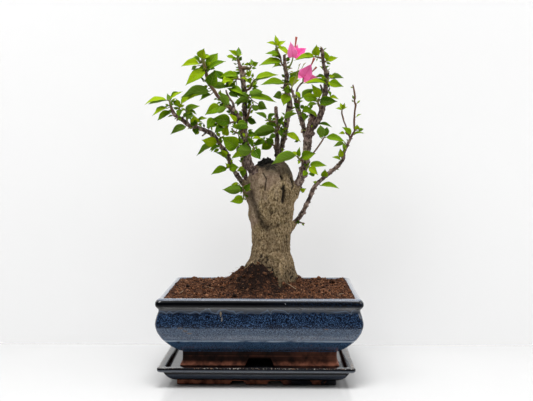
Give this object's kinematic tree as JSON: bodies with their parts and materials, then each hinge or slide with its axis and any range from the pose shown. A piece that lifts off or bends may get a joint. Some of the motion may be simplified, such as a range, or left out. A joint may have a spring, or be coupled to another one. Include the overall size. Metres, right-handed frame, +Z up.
{
  "type": "bougainvillea bonsai",
  "caption": "Small bougainvillea tree with a stout pruned trunk, sparse leafy shoots and papery pink flowers, planted in a glazed rectangular pot on its drip tray.",
  "frame": {"origin": "on the table, under the middle of the pot and plant", "axes": "+Z up, +X along the pot's long side to the right, the front of the pot towards -Y"},
  "size_m": [0.2951, 0.19, 0.4591],
  "materials": {
    "tray_glaze": "dark blue-grey glaze, unglazed brown foot",
    "pot_glaze": "glossy dark navy glaze with fine blue speckles, unglazed clay foot",
    "mesh_plastic": "matt black",
    "soil": "crumbly reddish-brown coir",
    "old_bark": "rough khaki-grey bark",
    "young_bark": "grey-brown bark of young branches",
    "wound_paste": "cracked black sealing paste",
    "leaf": "soft satin green leaf",
    "bract": "papery pink bract"
  },
  "bodies": {
    "root": {"drip_tray": "tray_glaze", "pot": "pot_glaze", "drain_mesh_left": "mesh_plastic", "drain_mesh_right": "mesh_plastic", "soil": "soil", "trunk": "old_bark", "wound_crust": "wound_paste", "branch_back_left": "young_bark", "branch_front_left": "young_bark", "branch_left_low": "young_bark", "branch_middle": "young_bark", "branch_middle_stub": "young_bark", "branch_right": "young_bark", "branch_right_inner": "young_bark", "branch_right_low": "young_bark", "branch_right_tall": "young_bark", "flower_lower": "bract", "flower_upper": "bract", "shoot_back_left_knob": "leaf", "shoot_back_left_low": "leaf", "shoot_back_left_right": "leaf", "shoot_back_left_spur": "leaf", "shoot_back_left_top": "leaf", "shoot_back_left_wide": "leaf", "shoot_front_left_low": "leaf", "shoot_front_left_tip": "leaf", "shoot_front_left_twig": "leaf", "shoot_front_middle": "leaf", "shoot_left_elbow": "leaf", "shoot_left_fourth": "leaf", "shoot_left_inner": "leaf", "shoot_left_round": "leaf", "shoot_left_second": "leaf", "shoot_left_third": "leaf", "shoot_left_tip": "leaf", "shoot_left_top": "leaf", "shoot_middle_leafy": "leaf", "shoot_middle_left": "leaf", "shoot_middle_low": "leaf", "shoot_middle_node": "leaf", "shoot_middle_right": "leaf", "shoot_middle_round": "leaf", "shoot_middle_stub_top": "leaf", "shoot_middle_top": "leaf", "shoot_middle_upper": "leaf", "shoot_right_far": "leaf", "shoot_right_inner_low": "leaf", "shoot_right_inner_top": "leaf", "shoot_right_low": "leaf", "shoot_right_side": "leaf", "shoot_right_tall_bud": "leaf", "shoot_right_tall_low": "leaf", "shoot_right_tall_middle": "leaf", "shoot_right_tall_top": "leaf", "shoot_trunk_left": "leaf", "twig_right_far": "leaf", "twig_right_forked": "leaf", "twig_right_red": "leaf"}
  },
  "joints": []
}
